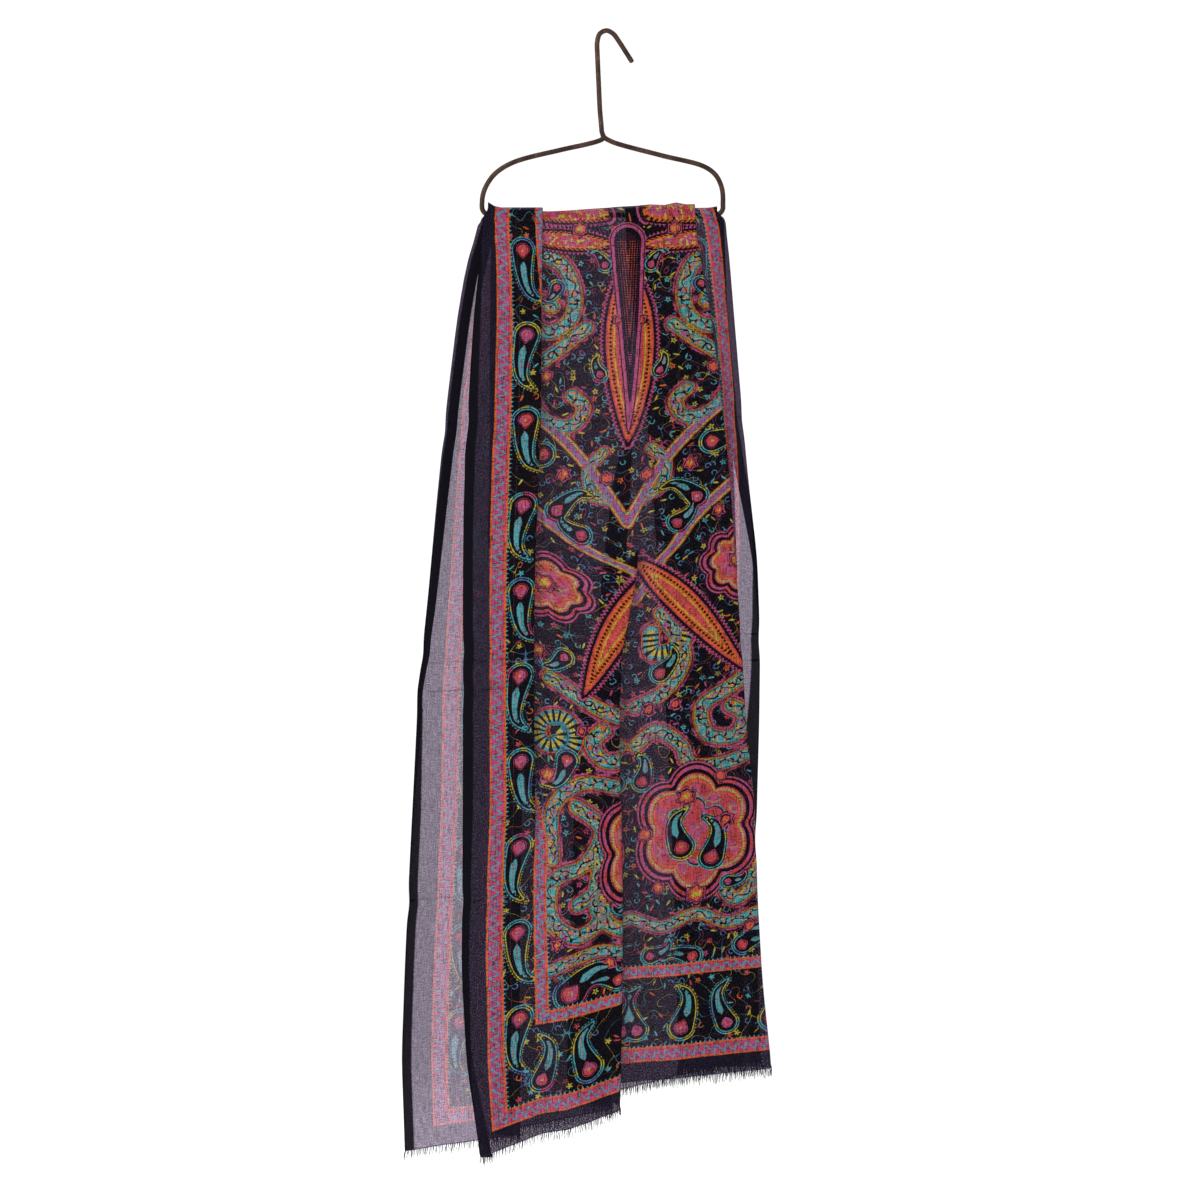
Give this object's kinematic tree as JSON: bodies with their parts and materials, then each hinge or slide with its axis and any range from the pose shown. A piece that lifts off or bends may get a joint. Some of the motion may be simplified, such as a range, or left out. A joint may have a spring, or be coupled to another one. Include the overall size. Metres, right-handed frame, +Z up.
{
  "type": "scarf on a wire hanger",
  "caption": "Long fringed scarf folded in half in pleats over the bar of a small wire hanger, which hangs by its open hook.",
  "frame": {"origin": "the inner top of the hanger's hook, where it bears on the rail", "axes": "+X to the right as seen from the printed front half, +Y towards the back half, +Z up along the drop"},
  "size_m": [0.3815, 0.0392, 1.1689],
  "materials": {
    "printed_gauze": "matt semi-sheer weave, printed",
    "loose_yarn": "matt yarn",
    "bronzed_wire": "semi-gloss bronze brown"
  },
  "bodies": {
    "root": {"cloth_front_border_left": "printed_gauze", "cloth_front_field_left": "printed_gauze", "cloth_front_field_right": "printed_gauze", "cloth_front_border_right": "printed_gauze", "cloth_back_border_left": "printed_gauze", "cloth_back_field_left": "printed_gauze", "cloth_back_field_right": "printed_gauze", "cloth_back_border_right": "printed_gauze", "cloth_turn_over_bar": "printed_gauze", "fringe_front_border_left": "loose_yarn", "fringe_front_field_left": "loose_yarn", "fringe_front_field_right": "loose_yarn", "fringe_front_border_right": "loose_yarn", "fringe_back_border_left": "loose_yarn", "fringe_back_field_left": "loose_yarn", "fringe_back_field_right": "loose_yarn", "fringe_back_border_right": "loose_yarn", "hanger_hook": "bronzed_wire", "hanger_shoulder_right": "bronzed_wire", "hanger_shoulder_left": "bronzed_wire", "hanger_bar": "bronzed_wire"}
  },
  "joints": []
}
